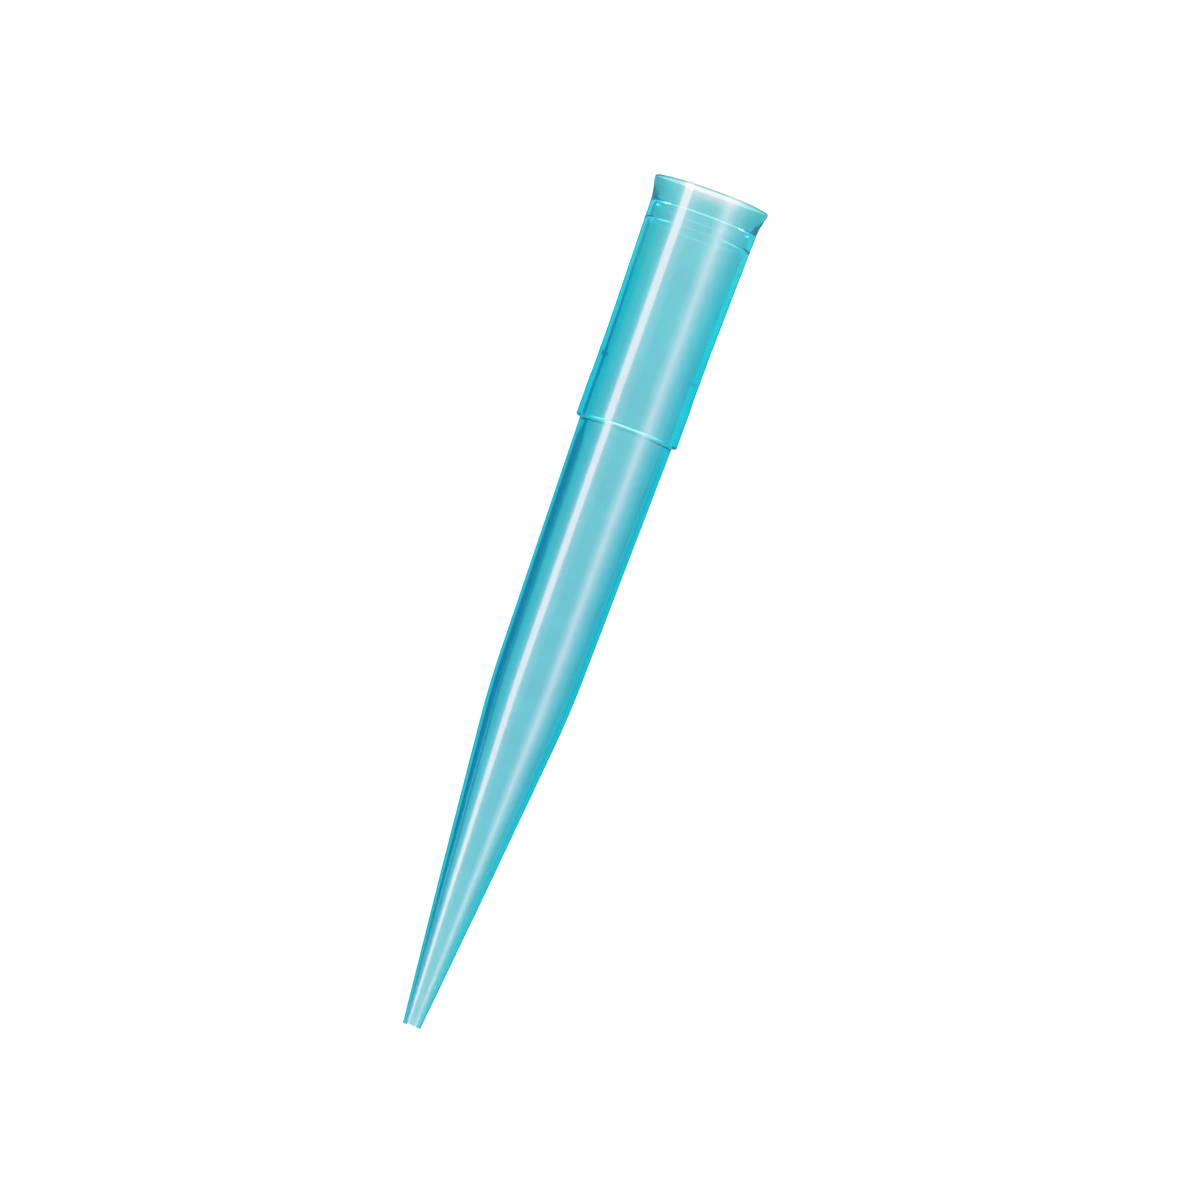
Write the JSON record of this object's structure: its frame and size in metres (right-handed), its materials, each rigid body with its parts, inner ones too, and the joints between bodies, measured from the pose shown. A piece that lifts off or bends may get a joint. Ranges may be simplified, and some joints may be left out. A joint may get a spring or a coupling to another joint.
{
  "type": "pipette tip",
  "caption": "Thin-walled tapered plastic tube with a flared mouth, a shouldered collar that seals on a handheld pipette, and a fine open nozzle for drawing up liquid.",
  "frame": {"origin": "centre of the mouth's rim face, the wide end that the tip stands on", "axes": "+Z along the tip's axis, from the wide mouth up to the nozzle; X and Y are alike, since the tip is round"},
  "size_m": [0.0098, 0.0098, 0.071],
  "materials": {
    "polypropylene": "gloss"
  },
  "bodies": {
    "root": {"pipette_tip": "polypropylene"}
  },
  "joints": []
}
